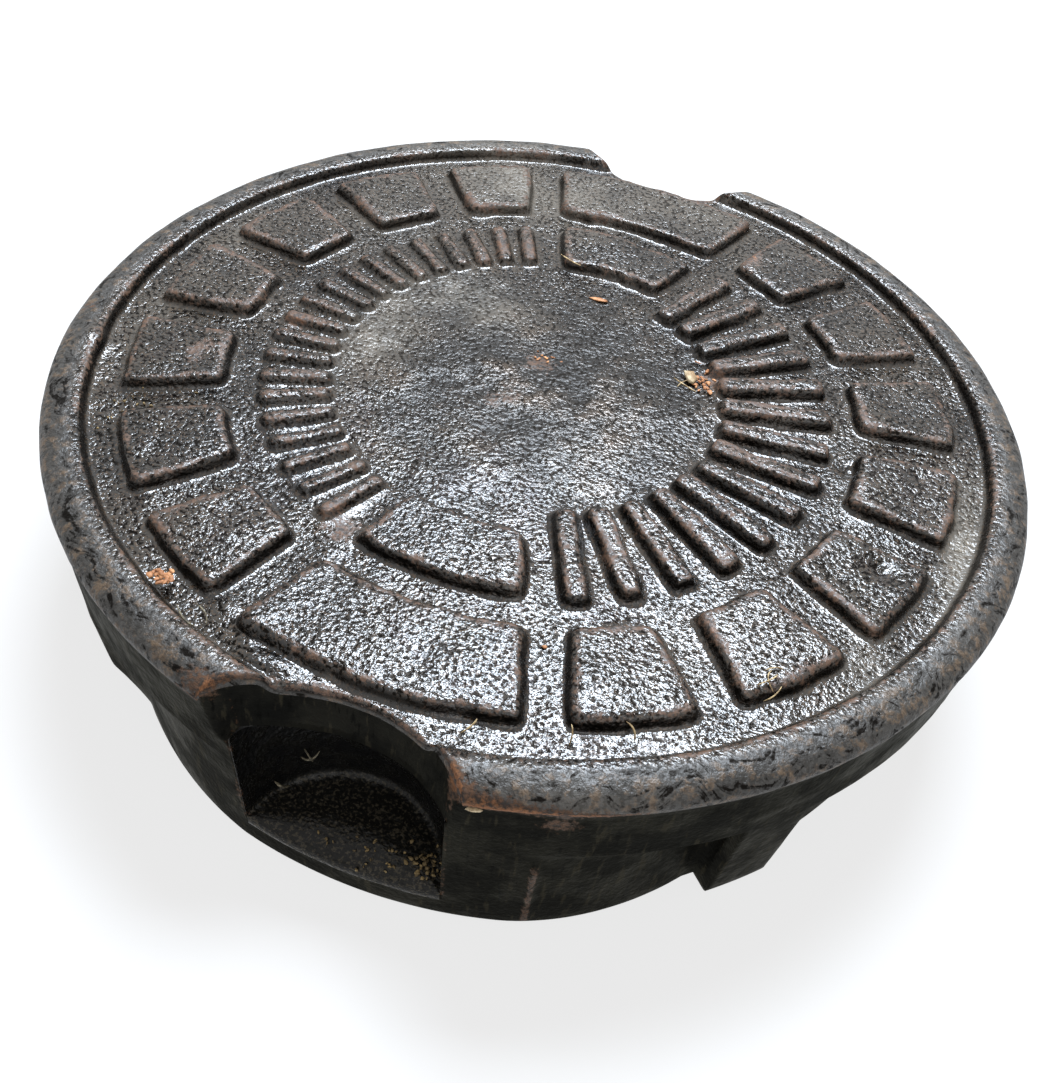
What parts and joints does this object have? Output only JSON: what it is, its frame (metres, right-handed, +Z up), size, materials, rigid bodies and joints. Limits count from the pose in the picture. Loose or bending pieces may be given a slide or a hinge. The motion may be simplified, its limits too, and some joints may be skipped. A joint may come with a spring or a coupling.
{
  "type": "valve box lid",
  "caption": "Round cast iron street valve box lid with a tread of pads and bars, a rim, a deep skirt and two finger pockets.",
  "frame": {"origin": "centre of the lid, at the height of the skirt's foot", "axes": "+Z up through the tread; the two finger pockets lie on the Y axis; the long tread bars are on the +X side"},
  "size_m": [0.229, 0.2236, 0.054],
  "materials": {
    "coated_iron": "rough sand-cast, thin black coating, rust on the worn edges"
  },
  "bodies": {
    "root": {"lid_casting": "coated_iron"}
  },
  "joints": []
}
